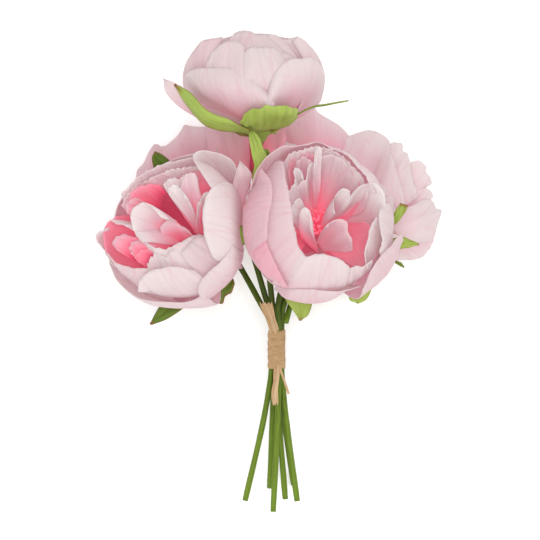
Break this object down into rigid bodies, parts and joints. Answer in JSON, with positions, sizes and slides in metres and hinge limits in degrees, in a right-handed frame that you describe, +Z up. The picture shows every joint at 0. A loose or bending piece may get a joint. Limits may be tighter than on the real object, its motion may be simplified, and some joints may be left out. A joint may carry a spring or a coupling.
{
  "type": "bunch of peonies",
  "caption": "Tied bunch of double peonies lying on its side: layered cupped petals, leafy calyces, long bare stems and a raffia binding with loose ends.",
  "frame": {"origin": "On the surface that the bunch lies on, under the middle of its bounding box.", "axes": "+Z up from the surface, +Y along the bunch from the cut stem ends towards the top bloom, +X to the right in the picture's view, which looks down on the lying bunch."},
  "size_m": [0.2068, 0.2838, 0.1373],
  "materials": {
    "petals": "matte",
    "sepals": "matte",
    "stems": "satin",
    "stamens": "matte",
    "raffia": "matte"
  },
  "bodies": {
    "root": {"petals_top": "petals", "calyx_top": "sepals", "stem_top": "stems", "petals_left_front": "petals", "calyx_left_front": "sepals", "stem_left_front": "stems", "stamens_left_front": "stamens", "petals_right_front": "petals", "calyx_right_front": "sepals", "stem_right_front": "stems", "stamens_right_front": "stamens", "petals_right_back": "petals", "calyx_right_back": "sepals", "stem_right_back": "stems", "stamens_right_back": "stamens", "petals_left_back": "petals", "calyx_left_back": "sepals", "stem_left_back": "stems", "stamens_left_back": "stamens", "petals_middle_back": "petals", "calyx_middle_back": "sepals", "stem_middle_back": "stems", "stamens_middle_back": "stamens", "raffia_binding": "raffia"}
  },
  "joints": []
}
